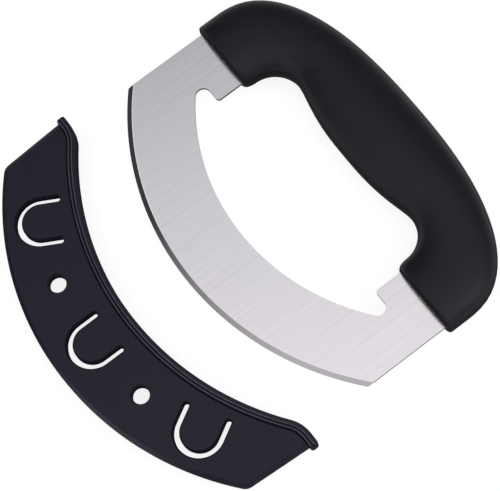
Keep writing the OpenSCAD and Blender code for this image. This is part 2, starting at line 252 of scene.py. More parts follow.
def mixed(tree, share_of_b, a, b, blend="MIX"):
    """Two colours mixed."""
    kind = {"data_type": "RGBA", "blend_type": blend}
    return put(tree, "Mix", kind, in_0=share_of_b, in_6=a, in_7=b).outputs[2]


def mixed_values(tree, share_of_b, a, b):
    """Two values mixed."""
    return put(tree, "Mix", in_0=share_of_b, in_2=a, in_3=b).outputs[0]


def noise(tree, vector, scale, detail=2.0, rough=0.5):
    """The value of one Noise texture."""
    return put(tree, "TexNoise", Vector=vector, Scale=scale, Detail=detail, Roughness=rough).outputs[0]


def rgba(colour, factor=1.0):
    """A colour with alpha, each channel times a factor."""
    return (*(min(1.0, c * factor) for c in colour), 1.0)


def brushed_lines():
    """Long fine lines along Y, of a given width and length."""
    tree, given, result = new_group(
        "Brushed Lines",
        [("Vector", "Vector", None), ("Line Width", "Float", 0.0004), ("Line Length", "Float", 0.02)],
        [("Lines", "Float"), ("Bands", "Float")])
    parts = put(tree, "SeparateXYZ", Vector=given["Vector"]).outputs
    across = math_of(tree, "DIVIDE", parts["X"], given["Line Width"])
    along = math_of(tree, "DIVIDE", parts["Y"], given["Line Length"])
    fine = put(tree, "CombineXYZ", X=across, Y=along).outputs[0]
    wider = (0.17, 0.55, 1.0)
    broad = put(tree, "VectorMath", {"operation": "MULTIPLY"}, in_0=fine, in_1=wider).outputs[0]
    tree.links.new(noise(tree, fine, 0.5, 4.0, 0.62), result["Lines"])
    tree.links.new(noise(tree, broad, 0.5, 2.0, 0.5), result["Bands"])
    return tree


def moulded_grain():
    """The fine spark-eroded grain of a mould, and larger soft patches left by handling."""
    tree, given, result = new_group(
        "Moulded Grain",
        [("Vector", "Vector", None), ("Grain Size", "Float", 0.0004), ("Patch Size", "Float", 0.02)],
        [("Grain", "Float"), ("Specks", "Float"), ("Patches", "Float")])
    per_grain = math_of(tree, "DIVIDE", 1.0, given["Grain Size"])
    per_patch = math_of(tree, "DIVIDE", 1.0, given["Patch Size"])
    grain = noise(tree, given["Vector"], per_grain, 3.0, 0.6)
    cells = put(tree, "TexVoronoi", Vector=given["Vector"], Scale=per_grain).outputs["Distance"]
    specks = spread(tree, cells, 0.12, 0.45, 1.0, 0.0, smooth=True)
    patches = noise(tree, given["Vector"], per_patch, 3.0, 0.55)
    tree.links.new(grain, result["Grain"])
    tree.links.new(specks, result["Specks"])
    tree.links.new(patches, result["Patches"])
    return tree


def edge_wear():
    """A mask along convex edges, broken up by noise."""
    tree, given, result = new_group(
        "Edge Wear",
        [("Vector", "Vector", None), ("Start", "Float", 0.52), ("Full", "Float", 0.62),
         ("Patch Size", "Float", 0.004)],
        [("Wear", "Float")])
    point = tree.nodes.new("ShaderNodeNewGeometry").outputs["Pointiness"]
    edge = spread(tree, point, given["Start"], given["Full"], smooth=True)
    per_patch = math_of(tree, "DIVIDE", 1.0, given["Patch Size"])
    patchy = spread(tree, noise(tree, given["Vector"], per_patch, 3.0, 0.6), 0.35, 0.65, 0.35, 1.0)
    tree.links.new(product(tree, edge, patchy), result["Wear"])
    return tree


def polar_place():
    """Places a point by its arc along the cutting edge and its distance in from it."""
    tree, given, result = new_group(
        "Edge Place",
        [("Vector", "Vector", None), ("Centre Y", "Float", 0.1), ("Edge Radius", "Float", 0.129)],
        [("Arc Place", "Vector"), ("Depth", "Float")])
    parts = put(tree, "SeparateXYZ", Vector=given["Vector"]).outputs
    drop = math_of(tree, "SUBTRACT", given["Centre Y"], parts["Y"])
    turn = math_of(tree, "ARCTAN2", parts["X"], drop)
    flat = put(tree, "CombineXYZ", X=parts["X"], Y=drop).outputs[0]
    radius = put(tree, "VectorMath", {"operation": "LENGTH"}, in_0=flat).outputs["Value"]
    arc = product(tree, turn, given["Edge Radius"])
    depth = math_of(tree, "SUBTRACT", given["Edge Radius"], radius)
    placed = put(tree, "CombineXYZ", X=arc, Y=depth, Z=parts["Z"]).outputs[0]
    tree.links.new(placed, result["Arc Place"])
    tree.links.new(depth, result["Depth"])
    return tree


GROUP_MAKERS = {
    "Brushed Lines": brushed_lines,
    "Moulded Grain": moulded_grain,
    "Edge Wear": edge_wear,
    "Edge Place": polar_place,
}


def use(tree, name, **inputs):
    """Places a shared effect in a material, and builds it the first time."""
    shared = bpy.data.node_groups.get(name) or GROUP_MAKERS[name]()
    return put(tree, "Group", {"node_tree": shared}, **inputs).outputs


def empty_tree(holder):
    """The emptied node tree of a new material or world."""
    holder.use_nodes = True
    holder.node_tree.nodes.clear()
    return holder.node_tree


def new_material(name):
    """An empty material, with its tree, its Object coordinates and its surface shader."""
    material = bpy.data.materials.new(name)
    tree = empty_tree(material)
    where = tree.nodes.new("ShaderNodeTexCoord").outputs["Object"]
    shader = put(tree, "BsdfPrincipled")
    put(tree, "OutputMaterial", Surface=shader.outputs[0])
    return material, tree, where, shader


def bump(tree, height, distance, strength):
    """The normal given by one Bump node."""
    return put(tree, "Bump", Height=height, Distance=distance, Strength=strength).outputs[0]


def level_share(tree):
    """How level the surface is: 1 where it looks straight up or down, 0 on a wall."""
    facing = tree.nodes.new("ShaderNodeTexCoord").outputs["Normal"]
    return math_of(tree, "ABSOLUTE", put(tree, "SeparateXYZ", Vector=facing).outputs["Z"])


# Roughness of steep walls, which take less light than the faces, and of the steel's cut sides
WALL_ROUGHNESS, SIDE_ROUGHNESS = 0.95, 0.6


def shaded_wall_mask(tree, level):
    """A mask of the steep walls, which the materials darken with painted shade and make rougher."""
    return spread(tree, level, 0.2, 0.7, 1.0, 0.0, smooth=True)


def off_middle(tree, where):
    """How far a point lies above or below the middle of the sheet."""
    height = put(tree, "SeparateXYZ", Vector=where).outputs["Z"]
    return math_of(tree, "ABSOLUTE", math_of(tree, "SUBTRACT", height, MID_Z))


def feed(tree, shader, **sources):
    """Links outputs to the surface shader's inputs."""
    for key, source in sources.items():
        tree.links.new(source, shader.inputs[key.replace("_", " ")])


# Soft borders of the bevel and of the cut sides, and of the painted highlight line beside the bevel
BEVEL_BORDER = 0.05 * MM
SIDE_FULL, SIDE_START = 0.07 * MM, 0.03 * MM
GLINT_AT, GLINT_FULL, GLINT_END = 0.15 * MM, 0.14 * MM, 0.24 * MM
GLINT_FADE, GLINT_FADED = -30.0 * MM, -16.0 * MM
# near-white colour of the painted highlight line beside the bevel
PAINTED_GLINT = (0.95, 0.95, 0.97, 1.0)
# tint for the painted reflection that runs warmer towards the right, and for random warm patches
WARM_TONE = (1.0, 0.975, 0.965, 1.0)


def steel_masks(tree, where, along, depth, border):
    """Masks of the ground bevel, of the cut sides of the sheet, which get painted shade, and of the
    painted highlight line beside the bevel.
    """
    bevel = spread(tree, depth, border - BEVEL_BORDER, border + BEVEL_BORDER, 1.0, 0.0)
    half_sheet = (BLADE_HIGH.z - BLADE_LOW.z) / 2
    side = spread(tree, off_middle(tree, where), half_sheet - SIDE_FULL, half_sheet - SIDE_START,
                  1.0, 0.0)
    side = product(tree, side, math_of(tree, "SUBTRACT", 1.0, bevel))
    off_painted_glint = math_of(tree, "ABSOLUTE", math_of(tree, "SUBTRACT", depth, border + GLINT_AT))
    painted_glint = spread(tree, off_painted_glint, GLINT_FULL, GLINT_END, 1.0, 0.0)
    # the painted highlight line fades out towards the right
    painted_glint = product(tree, painted_glint, spread(tree, along, GLINT_FADE, GLINT_FADED, 1.0, 0.1))
    return bevel, side, painted_glint


def brushed_steel(settings):
    """Sheet steel brushed across the blade, with a darker bevel ground square to the edge, a painted
    highlight line beside the bevel, painted shade on the cut sides and a painted reflection that runs
    warmer towards the right.
    """
    material, tree, where, shader = new_material("brushed_steel")
    centre_y = BLADE_LOW.y + settings.edge_radius
    edge = use(tree, "Edge Place", Vector=where, Centre_Y=centre_y, Edge_Radius=settings.edge_radius)
    flats = use(tree, "Brushed Lines", Vector=where, Line_Width=settings.line_width,
                Line_Length=settings.line_length)
    ground = use(tree, "Brushed Lines", Vector=edge["Arc Place"],
                 Line_Width=settings.line_width * 0.5, Line_Length=settings.line_length * 0.3)
    along = put(tree, "SeparateXYZ", Vector=where).outputs["X"]
    bevel, side, painted_glint = steel_masks(tree, where, along, edge["Depth"], settings.bevel_width)
    lines = mixed_values(tree, bevel, flats["Lines"], ground["Lines"])
    # colour: warmer towards the right as a painted reflection, with random warm patches, a painted
    # highlight line beside the bevel and painted shade on the cut sides
    reflected_and_patchy_warmth = math_of(tree, "ADD", spread(tree, along, -40.0 * MM, 60.0 * MM, -0.3, 0.6),
                   spread(tree, noise(tree, where, 30.0, 1.0), 0.35, 0.65, 0.0, 0.5), clamp=True)
    base = mixed(tree, bevel, rgba(settings.steel), rgba(settings.ground))
    base = mixed(tree, reflected_and_patchy_warmth, base, mixed(tree, 1.0, base, WARM_TONE, "MULTIPLY"))
    # painted highlight: a near-white line beside the bevel
    base = mixed(tree, painted_glint, base, PAINTED_GLINT)
    # painted shade: a near-black colour on the cut sides of the sheet
    base = mixed(tree, side, base, rgba(settings.cut))
    tone = spread(tree, lines, 0.3, 0.7, 0.955, 1.04)
    tone = product(tree, tone, spread(tree, flats["Bands"], 0.3, 0.7, 0.975, 1.02))
    toned = put(tree, "VectorMath", {"operation": "SCALE"}, in_0=base, Scale=tone).outputs[0]
    # roughness: finer on the bevel, rough on the cut sides
    rough = spread(tree, lines, 0.3, 0.7, settings.roughness + 0.05, settings.roughness - 0.04)
    rough = math_of(tree, "SUBTRACT", rough, product(tree, bevel, settings.polish))
    feed(tree, shader, Base_Color=toned, Roughness=mixed_values(tree, side, rough, SIDE_ROUGHNESS),
         Normal=bump(tree, lines, 0.006 * MM, 0.12))
    shader.inputs["Metallic"].default_value = 1.0
    return material


def soft_skin(settings):
    """Soft-touch rubber with a very fine grain, a little paler where hands rub it, with painted shade
    on its steep walls.
    """
    material, tree, where, shader = new_material("soft_skin")
    grain = use(tree, "Moulded Grain", Vector=where, Grain_Size=settings.grain, Patch_Size=18.0 * MM)
    wear = use(tree, "Edge Wear", Vector=where, Start=0.52, Full=0.66, Patch_Size=3.0 * MM)
    soft = settings.soft
    walls = shaded_wall_mask(tree, level_share(tree))
    patches = spread(tree, grain["Patches"], 0.35, 0.7, 0.0, 0.35)
    base = mixed(tree, patches, rgba(soft), rgba(soft, 1.35))
    base = mixed(tree, product(tree, grain["Specks"], 0.16), base, rgba(soft, 2.0))
    base = mixed(tree, product(tree, wear["Wear"], 0.25), base, rgba(soft, 1.8))
    # painted shade: a darker colour on the steep walls
    base = mixed(tree, product(tree, walls, 0.8), base, rgba(soft, 0.2))
    rough = spread(tree, grain["Patches"], 0.3, 0.7,
                   settings.roughness - 0.05, settings.roughness + 0.06)
    rough = mixed_values(tree, walls, rough, WALL_ROUGHNESS)
    feed(tree, shader, Base_Color=base, Roughness=rough,
         Normal=bump(tree, grain["Grain"], 0.05 * MM, 0.5))
    shader.inputs["Specular IOR Level"].default_value = 0.26
    return material


def core_plastic(settings):
    """Rigid moulded plastic, hidden under the skin."""
    material, tree, where, shader = new_material("core_plastic")
    grain = use(tree, "Moulded Grain", Vector=where, Grain_Size=0.6 * MM, Patch_Size=12.0 * MM)
    base = mixed(tree, grain["Patches"], rgba(settings.core, 0.8), rgba(settings.core, 1.3))
    rough = spread(tree, grain["Patches"], 0.3, 0.7, 0.45, 0.6)
    feed(tree, shader, Base_Color=base, Roughness=rough,
         Normal=bump(tree, grain["Grain"], 0.05 * MM, 0.5))
    shader.inputs["Specular IOR Level"].default_value = 0.4
    return material


# How far below the crests of the lip the painted highlight starts and is full
HIGHLIGHT_START, HIGHLIGHT_FULL = 0.18 * MM, 0.08 * MM


def satin_plastic(settings):
    """Satin black plastic with the faint texture of its mould, worn edges that also carry a painted
    highlight, a painted highlight along the crests of the lip and painted shade on its steep walls.
    """
    material, tree, where, shader = new_material("satin_plastic")
    grain = use(tree, "Moulded Grain", Vector=where, Grain_Size=settings.grain, Patch_Size=14.0 * MM)
    wear = use(tree, "Edge Wear", Vector=where, Start=0.53, Full=0.68, Patch_Size=2.5 * MM)
    plastic = settings.plastic
    level = level_share(tree)
    walls = shaded_wall_mask(tree, level)
    patches = spread(tree, grain["Patches"], 0.35, 0.7, 0.0, 0.3)
    base = mixed(tree, patches, rgba(plastic), rgba(plastic, 1.3))
    # paler convex edges: wear, and a painted highlight along the lip's beads and the rims
    wear_and_highlight = product(tree, wear["Wear"], spread(tree, level, 0.96, 0.99, 0.35, 0.0))
    base = mixed(tree, wear_and_highlight, base, rgba(plastic, 2.6))
    # painted highlight: a pale, patchy band along the crests of the lip
    crest = COVER_HIGH.z - MID_Z
    painted_highlight = spread(tree, off_middle(tree, where), crest - HIGHLIGHT_START, crest - HIGHLIGHT_FULL)
    painted_highlight = product(tree, painted_highlight, spread(tree, grain["Patches"], 0.3, 0.7, 0.6, 1.0))
    base = mixed(tree, painted_highlight, base, rgba(settings.painted_highlight))
    # painted shade: a darker colour on the steep walls
    base = mixed(tree, product(tree, walls, 0.85), base, rgba(plastic, 0.15))
    rough = spread(tree, grain["Patches"], 0.3, 0.7,
                   settings.roughness - 0.03, settings.roughness + 0.03)
    rough = mixed_values(tree, walls, rough, WALL_ROUGHNESS)
    feed(tree, shader, Base_Color=base, Roughness=rough,
         Normal=bump(tree, grain["Grain"], 0.02 * MM, 0.4))
    shader.inputs["Specular IOR Level"].default_value = 0.18
    return material


# Meshes


def add_object(name, data):
    """Adds an object to the scene."""
    made = bpy.data.objects.new(name, data)
    bpy.context.scene.collection.objects.link(made)
    return made


def new_object(name, bm):
    """An object that holds a bmesh, with its doubles merged and its faces pointing outwards."""
    bmesh.ops.remove_doubles(bm, verts=bm.verts, dist=TINY)
    bmesh.ops.recalc_face_normals(bm, faces=bm.faces)
    mesh = bpy.data.meshes.new(name)
    bm.to_mesh(mesh)
    bm.free()
    return add_object(name, mesh)


# The angle from which edges stay sharp, and the upright share of the normal of a level face
SHARP_FROM = math.radians(30.0)
LEVEL = 0.99999


def smooth(made, plain_level=False):
    """Smooth shading, with sharp edges where faces meet at a large angle.
    Faces that look straight up or down can keep their own plain shading."""
    mesh = made.data
    mesh.polygons.foreach_set("use_smooth", [True] * len(mesh.polygons))
    mesh.set_sharp_from_angle(angle=SHARP_FROM)
    for face in mesh.polygons:
        if plain_level and abs(face.normal.z) > LEVEL:
            face.use_smooth = False


def quarter(steps):
    """Angles from 0 to a quarter turn, in equal steps."""
    return [math.pi / 2 * i / steps for i in range(steps + 1)]


def ring_of(verts):
    """The edges that join some vertices, always in the same order."""
    return list(dict.fromkeys(edge for vert in verts for edge in vert.link_edges))


def close_rings(bm, rings):
    """Makes a solid of closed rings of edges that lie one beyond another."""
    for near, far in zip(rings, rings[1:]):
        bmesh.ops.bridge_loops(bm, edges=near + far)
    for ring in (rings[0], rings[-1]):
        bmesh.ops.edgeloop_fill(bm, edges=ring)


def number_parts(parts, key):
    """Puts the vertices, edges or faces of a bmesh in the order of a key."""
    for index, part in enumerate(sorted(parts, key=key)):
        part.index = index
    parts.sort()


def merge_tiny(made):
    """Merges the tiny edges that cutting leaves. The order of what it leaves changes from run to
    run, so it is fixed first."""
    bm = bmesh.new()
    bm.from_mesh(made.data)
    number_parts(bm.verts, lambda vert: vert.co[:])
    for parts in (bm.edges, bm.faces):
        number_parts(parts, lambda part: sorted(vert.index for vert in part.verts))
    bmesh.ops.remove_doubles(bm, verts=bm.verts, dist=TINY)
    bmesh.ops.dissolve_degenerate(bm, edges=bm.edges, dist=TINY)
    bm.to_mesh(made.data)
    bm.free()


def boolean(made, tools, operation):
    """Adds the tools to a piece, or cuts them from it, and removes them."""
    for tool in tools:
        step = made.modifiers.new("step", "BOOLEAN")
        step.operation = operation
        step.solver = "EXACT"
        step.object = tool
        bpy.context.view_layer.update()
        done = bpy.data.meshes.new_from_object(
            made.evaluated_get(bpy.context.evaluated_depsgraph_get()))
        made.modifiers.clear()
        made.data = done
        bpy.data.objects.remove(tool)
    merge_tiny(made)
    made.data.name = made.name


def solid_copy(node):
    """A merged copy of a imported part, to cut with."""
    bm = bmesh.new()
    bm.from_mesh(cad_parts[node].data)
    return new_object(node + "_tool", bm)


def finish_piece(made, body, node, material):
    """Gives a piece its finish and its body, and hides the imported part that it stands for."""
    made.data.materials.clear()
    made.data.materials.append(material)
    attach(made, body)
    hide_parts(node)


def paint(node, material):
    """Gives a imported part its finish."""
    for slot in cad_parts[node].material_slots:
        slot.material = material
    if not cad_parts[node].material_slots:
        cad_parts[node].data.materials.append(material)


# Hand grip

# Sections along each leg, each corner, half the grip and each rounded end
LEG_STEPS, CORNER_STEPS, GRIP_STEPS, END_STEPS = 6, 20, 24, 5
# How much of the change from the leg's section to the grip's comes before and in the corner
LEG_SHARE, CORNER_SHARE = 0.15, 0.45
# How the finger swell rises from each crest to the middle, and the flare towards a leg's end
SWELL_RISE, SWELL_FALL, FLARE_RISE = 2.8, 1.5, 1.5
# How often the search for the outer curve halves its range
HALVINGS = 40


def ease(t):
    """Eases a share from 0 to 1."""
    return t * t * (3 - 2 * t)


def signed_power(value, power):
    """A power that keeps the sign."""
    return math.copysign(abs(value) ** power, value)


class GripShape:
    """The outline of the grip: matching points on its outer and inner side, from leg to leg."""

    def __init__(self, settings):
        self.s = settings
        self.half = GRIP_HIGH.x
        self.end = GRIP_LOW.y
        self.crown = self.end + settings.leg_straight
        self.rise = GRIP_HIGH.y - self.crown
        self.corner = Vector((settings.gap_width / 2 - settings.gap_corner,
                              self.end + settings.gap_height - settings.gap_corner))

    def crown_share(self, x, y):
        """Over 1 outside the outer curve."""
        n = self.s.crown_squareness
        return abs(x / self.half) ** n + max(0.0, (y - self.crown) / self.rise) ** n

    def outer_along(self, start, direction):
        """The point where a line from inside meets the outer curve."""
        near, far = 0.0, 2 * self.half
        for _ in range(HALVINGS):
            middle = (near + far) / 2
            point = start + direction * middle
            if self.crown_share(point.x, point.y) > 1:
                far = middle
            else:
                near = middle
        return start + direction * near

    def leg(self, y):
        """The two points at a height on the right-hand leg."""
        run = max(0.0, self.corner.y - y) / (self.corner.y - self.end)
        inner = Vector((self.s.gap_width / 2 + self.s.leg_flare * run ** FLARE_RISE, y))
        return self.outer_along(inner, Vector((1, 0))), inner

    def turn(self, degrees):
        """The two points at an angle round the gap's corner."""
        direction = Vector((math.cos(math.radians(degrees)), math.sin(math.radians(degrees))))
        return self.outer_along(self.corner, direction), self.corner + direction * self.s.gap_corner

    def grip(self, x):
        """The two points at a distance from the middle, above the gap."""
        fall = self.s.swell * (1 - (x / self.corner.x) ** SWELL_RISE) ** SWELL_FALL
        inner = Vector((x, self.end + self.s.gap_height - fall))
        return self.outer_along(inner, Vector((0, 1))), inner

    def half_stations(self):
        """Stations (outer, inner, progress) from the right-hand leg to the middle."""
        start = self.end + self.s.end_rounding
        before_grip = LEG_SHARE + CORNER_SHARE
        stations = []
        for i in range(LEG_STEPS):
            y = start + (self.corner.y - start) * i / LEG_STEPS
            stations.append((*self.leg(y), LEG_SHARE * i / LEG_STEPS))
        for i in range(CORNER_STEPS):
            degrees = 90 * i / CORNER_STEPS
            stations.append((*self.turn(degrees), LEG_SHARE + CORNER_SHARE * i / CORNER_STEPS))
        for i in range(GRIP_STEPS + 1):
            t = i / GRIP_STEPS
            progress = before_grip + (1 - before_grip) * t
            stations.append((*self.grip(self.corner.x * (1 - t)), progress))
        return stations


def add_ring(bm, outer, inner, progress, settings, depth=0.0, lift=0.0):
    """A closed section of the grip, drawn in by a depth, as the edges of its ring."""
    across = outer - inner
    width = across.length / 2 - depth
    thick = GRIP_HIGH.z - GRIP_LOW.z
    t = ease(progress)
    height = (settings.leg_thickness + (thick - settings.leg_thickness) * t) / 2 - depth
    power = 2 / (settings.leg_squareness + (settings.grip_squareness - settings.leg_squareness) * t)
    middle = (outer + inner) / 2 + Vector((0, lift))
    direction = across.normalized()
    verts = bmesh.ops.create_circle(bm, segments=settings.sides, radius=1.0)["verts"]
    for vert in verts:
        u, v = signed_power(vert.co.x, power), signed_power(vert.co.y, power)
        spot = middle + direction * width * u
        vert.co = (spot.x, spot.y, MID_Z + height * v)
    return ring_of(verts)


def make_grip_mesh(settings):
    """The soft skin as one smooth loft from leg end to leg end."""
    shape = GripShape(settings)
    half = shape.half_stations()
    flip = Vector((-1, 1))
    mirrored = [(outer * flip, inner * flip, t) for outer, inner, t in reversed(half[:-1])]
    first = (*shape.leg(shape.end), 0.0)
    last = (first[0] * flip, first[1] * flip, 0.0)
    radius = settings.end_rounding
    end_rings = [(radius * (1 - math.sin(a)), radius * (1 - math.cos(a)))
                 for a in quarter(END_STEPS)[:-1]]
    bm = bmesh.new()
    rings = [add_ring(bm, *first, settings, depth, lift) for depth, lift in end_rings]
    rings += [add_ring(bm, *station, settings) for station in half + mirrored]
    rings += [add_ring(bm, *last, settings, depth, lift) for depth, lift in reversed(end_rings)]
    close_rings(bm, rings)
    return new_object("soft_grip", bm)


# Cover

# Steps along the body's bow and corners, the lip's bow and shoulder, and the lip's round tip
BOW_STEPS, BODY_CORNER_STEPS = 40, 10
LIP_BOW_STEPS, LIP_SHOULDER_STEPS, TIP_STEPS = 48, 16, 6
# Steps round each hole, along a quarter of a U's bend, round its ends and on a soft edge
HOLE_STEPS, U_BEND_STEPS, U_END_STEPS, SOFT_STEPS = 64, 20, 12, 3
# How far the tool for the blade's slot stands out of the mouth
PAST_MOUTH = 5.0 * MM


class CoverShape:
    """Centres and turns of the cover's arcs, seen from above, where it lies pulled off the blade."""

    def __init__(self, settings):
        s = self.s = settings
        self.low = COVER_LOW.y
        self.centre = Vector((0, self.low + s.outer_radius, 0))
        self.tips_y = self.low + s.tips
        self.top = COVER_HIGH.y
        slant = s.end_slant
        self.along = Vector((math.sin(slant), math.cos(slant), 0))
        self.outward = Vector((math.cos(slant), -math.sin(slant), 0))
        self.side = Vector((s.half_width, self.tips_y, 0))
        self.foot = self.corner_centre(s.outer_radius, 0.0, s.foot_radius)
        end_x = self.side.x + (self.top - self.tips_y) * math.tan(slant)
        self.shoulder = Vector((end_x - s.tip_flat, self.top - s.shoulder_radius, 0))
        mouth_low = self.low + s.band
        gap = self.shoulder.y - mouth_low
        self.mouth_radius = ((self.shoulder.x ** 2 + gap ** 2 - s.shoulder_radius ** 2)
                             / (2 * (gap + s.shoulder_radius)))
        self.mouth = Vector((0, mouth_low + self.mouth_radius, 0))
        self.shoulder_turn = math.atan2(self.shoulder.x, self.mouth.y - self.shoulder.y)

    def corner_centre(self, radius, inset, corner):
        """Centre of a corner that blends an arc about the edge's centre into a slanted end."""
        start = self.side - self.outward * (inset + corner)
        q = start - self.centre
        b = q.dot(self.along)
        return start + self.along * (-b - math.sqrt(b * b - q.length_squared + (radius - corner) ** 2))


def spin(bm, geom, centre, turn, steps):
    """Turns geometry about an upright axis and leaves what it sweeps. Returns its far end."""
    done = bmesh.ops.spin(bm, geom=geom, cent=centre, axis=(0, 0, 1), angle=turn, steps=steps)
    return done["geom_last"]


def verts_of(geom):
    """The vertices in a mixed list."""
    return [g for g in geom if isinstance(g, bmesh.types.BMVert)]


def edges_of(geom):
    """The edges in a mixed list."""
    return [g for g in geom if isinstance(g, bmesh.types.BMEdge)]


def run_to(bm, geom, vector):
    """Extrudes the geometry's vertices or edges along a vector. Returns its far end."""
    if edges_of(geom):
        far = bmesh.ops.extrude_edge_only(bm, edges=edges_of(geom))["geom"]
    else:
        far = bmesh.ops.extrude_vert_indiv(bm, verts=geom)["verts"]
    bmesh.ops.translate(bm, verts=verts_of(far), vec=vector)
    return [g for g in far if not isinstance(g, bmesh.types.BMFace)]


def mirror_outline(bm):
    """Mirrors an open right-hand outline to the left and joins it. Returns all its edges."""
    bmesh.ops.mirror(bm, geom=bm.verts[:] + bm.edges[:], axis="X", merge_dist=TINY)
    bmesh.ops.remove_doubles(bm, verts=bm.verts, dist=TINY)
    return bm.edges[:]


def close_outline(bm):
    """Mirrors an open right-hand outline to the left and fills it with one face."""
    return bmesh.ops.contextual_create(bm, geom=mirror_outline(bm))["faces"]


def raise_faces(bm, faces, low, height):
    """Moves all to a height and extrudes the faces upwards from there."""
    bmesh.ops.translate(bm, verts=bm.verts, vec=(0, 0, low))
    top = bmesh.ops.extrude_face_region(bm, geom=faces)["geom"]
    bmesh.ops.translate(bm, verts=verts_of(top), vec=(0, 0, height))


def half_outline(shape, radius, inset, corner, top_y):
    """The right-hand half of the crescent's outline, open, up to a line that runs across it."""
    bm = bmesh.new()
    start = bm.verts.new((0, shape.centre.y - radius, 0))
    middle = shape.corner_centre(radius, inset, corner)
    turn = math.atan2(middle.x, shape.centre.y - middle.y)
    far = verts_of(spin(bm, [start], shape.centre, turn, BOW_STEPS))
    corner_turn = math.pi / 2 - turn - shape.s.end_slant
    far = verts_of(spin(bm, far, middle, corner_turn, BODY_CORNER_STEPS))
    reach = (top_y - far[0].co.y) / shape.along.y
    run_to(bm, far, shape.along * reach)
    return bm


def plate_object(shape):
    """The flat body with its bevelled rim, cut off below the top of the lip."""
    s = shape.s
    bm = half_outline(shape, s.outer_radius, 0.0, s.foot_radius, shape.top - s.lip_sunk)
    far = max(bm.verts, key=lambda v: v.co.y)
    far = run_to(bm, [far], Vector((shape.shoulder.x - far.co.x, 0, 0)))
    far = verts_of(spin(bm, far, shape.shoulder, shape.shoulder_turn, BODY_CORNER_STEPS))
    spin(bm, far, shape.mouth, -shape.shoulder_turn, BOW_STEPS)
    half = s.thickness / 2 - s.rim_depth
    raise_faces(bm, close_outline(bm), MID_Z - half, 2 * half)
    bmesh.ops.recalc_face_normals(bm, faces=bm.faces)
    # the rim's bevel rises from the two broad faces
    for face in [f for f in bm.faces if len(f.verts) > 4]:
        bmesh.ops.inset_region(bm, faces=[face], thickness=s.rim_width, depth=s.rim_depth,
                               use_even_offset=True)
    return new_object("cover_plate", bm)


# Crests and troughs of the lip: distance from the mouth and height above the face, in mm
LIP_EDGE, LIP_FLAT, OUTER_BEAD = (0.5, 0.8), (1.45, 0.8), (1.85, 1.0)
LIP_GROOVE, INNER_BEAD, LIP_BASE = (2.5, 0.45), (3.15, 0.96), (3.9, -0.5)
EDGE_STEPS, WAVE_STEPS, BASE_STEPS = 6, 5, 7


def lip_side():
    """One side of the lip's section: a rounded edge, a flat strip, and two fine beads with a
    groove between them."""
    points = []
    d, z = LIP_EDGE
    for a in quarter(EDGE_STEPS):
        points.append((d * (1 - math.cos(a)), z - d + d * math.sin(a)))
    waves = (LIP_EDGE, LIP_FLAT, OUTER_BEAD, LIP_GROOVE, INNER_BEAD)
    for (near, high), (far, low) in zip(waves, waves[1:]):
        for i in range(1, WAVE_STEPS + 1):
            t = i / WAVE_STEPS
            points.append((near + (far - near) * t, high + (low - high) * ease(t)))
    (near, high), (far, low) = INNER_BEAD, LIP_BASE
    for a in quarter(BASE_STEPS)[1:]:
        points.append((near + (far - near) * math.sin(a), low + (high - low) * math.cos(a)))
    return [(d * MM, z * MM) for d, z in points]


def round_tip(bm, far, shape):
    """Rounds the end of the swept lip, by short steps that each draw its section in."""
    radius = shape.s.lip_tip
    middle = Vector((0, shape.top - shape.s.lip_width / 2, MID_Z))
    half = Vector((0, shape.s.lip_width / 2, COVER_HIGH.z - MID_Z))
    turns = quarter(TIP_STEPS)
    for before, a in zip(turns, turns[1:]):
        far = run_to(bm, far, Vector((radius * (math.sin(a) - math.sin(before)), 0, 0)))
        inset, last = radius * (1 - math.cos(a)), radius * (1 - math.cos(before))
        for vert in verts_of(far):
            for axis in (1, 2):
                grow = (half[axis] - inset) / (half[axis] - last)
                vert.co[axis] = middle[axis] + (vert.co[axis] - middle[axis]) * grow
    bmesh.ops.contextual_create(bm, geom=edges_of(far))


def lip_object(shape):
    """The beaded lip along the mouth, swept from the middle to each rounded tip."""
    s = shape.s
    bm = bmesh.new()
    side = [(d, s.thickness / 2 + z) for d, z in lip_side()]
    profile = side + [(d, -z) for d, z in reversed(side)]
    mouth_y = shape.low + s.band
    ring = [bm.verts.new((0, mouth_y - d, MID_Z + z)) for d, z in profile]
    edges = [bm.edges.new((a, b)) for a, b in zip(ring, ring[1:] + ring[:1])]
    turn = shape.shoulder_turn
    far = edges_of(spin(bm, edges, shape.mouth, turn, LIP_BOW_STEPS))
    far = spin(bm, far, shape.shoulder, -turn, LIP_SHOULDER_STEPS)
    far = run_to(bm, far, Vector((COVER_HIGH.x - s.lip_tip - shape.shoulder.x, 0, 0)))
    round_tip(bm, far, shape)
    bmesh.ops.mirror(bm, geom=bm.verts[:] + bm.edges[:] + bm.faces[:], axis="X", merge_dist=TINY)
    return new_object("cover_lip", bm)


def slot_tool(shape):
    """What hollows the cover for the blade."""
    s = shape.s
    bm = half_outline(shape, s.outer_radius - s.floor, s.end_wall, s.slot_corner,
                      shape.top + PAST_MOUTH)
    raise_faces(bm, close_outline(bm), MID_Z - s.slot / 2, s.slot)
    return new_object("slot_tool", bm)


def cut_levels(s, half, slope):
    """Heights and half widths of a cutter, whose slopes end in a soft edge at both faces."""
    face, r = s.thickness / 2, s.soft_edge
    wide = half + slope
    levels = [(face + r, wide + r)]
    for a in quarter(SOFT_STEPS):
        levels.append((face - r * (1 - math.cos(a)), wide + r * (1 - math.sin(a))))
    levels += [(face - s.slope_depth, half)]
    return levels + [(-z, w) for z, w in reversed(levels)]


def hole_ring(bm, s, z, radius):
    """A ring of edges round a hole, called in the same way as a U's."""
    verts = bmesh.ops.create_circle(bm, segments=HOLE_STEPS, radius=radius)["verts"]
    bmesh.ops.translate(bm, verts=verts, vec=(0, 0, z))
    return ring_of(verts)


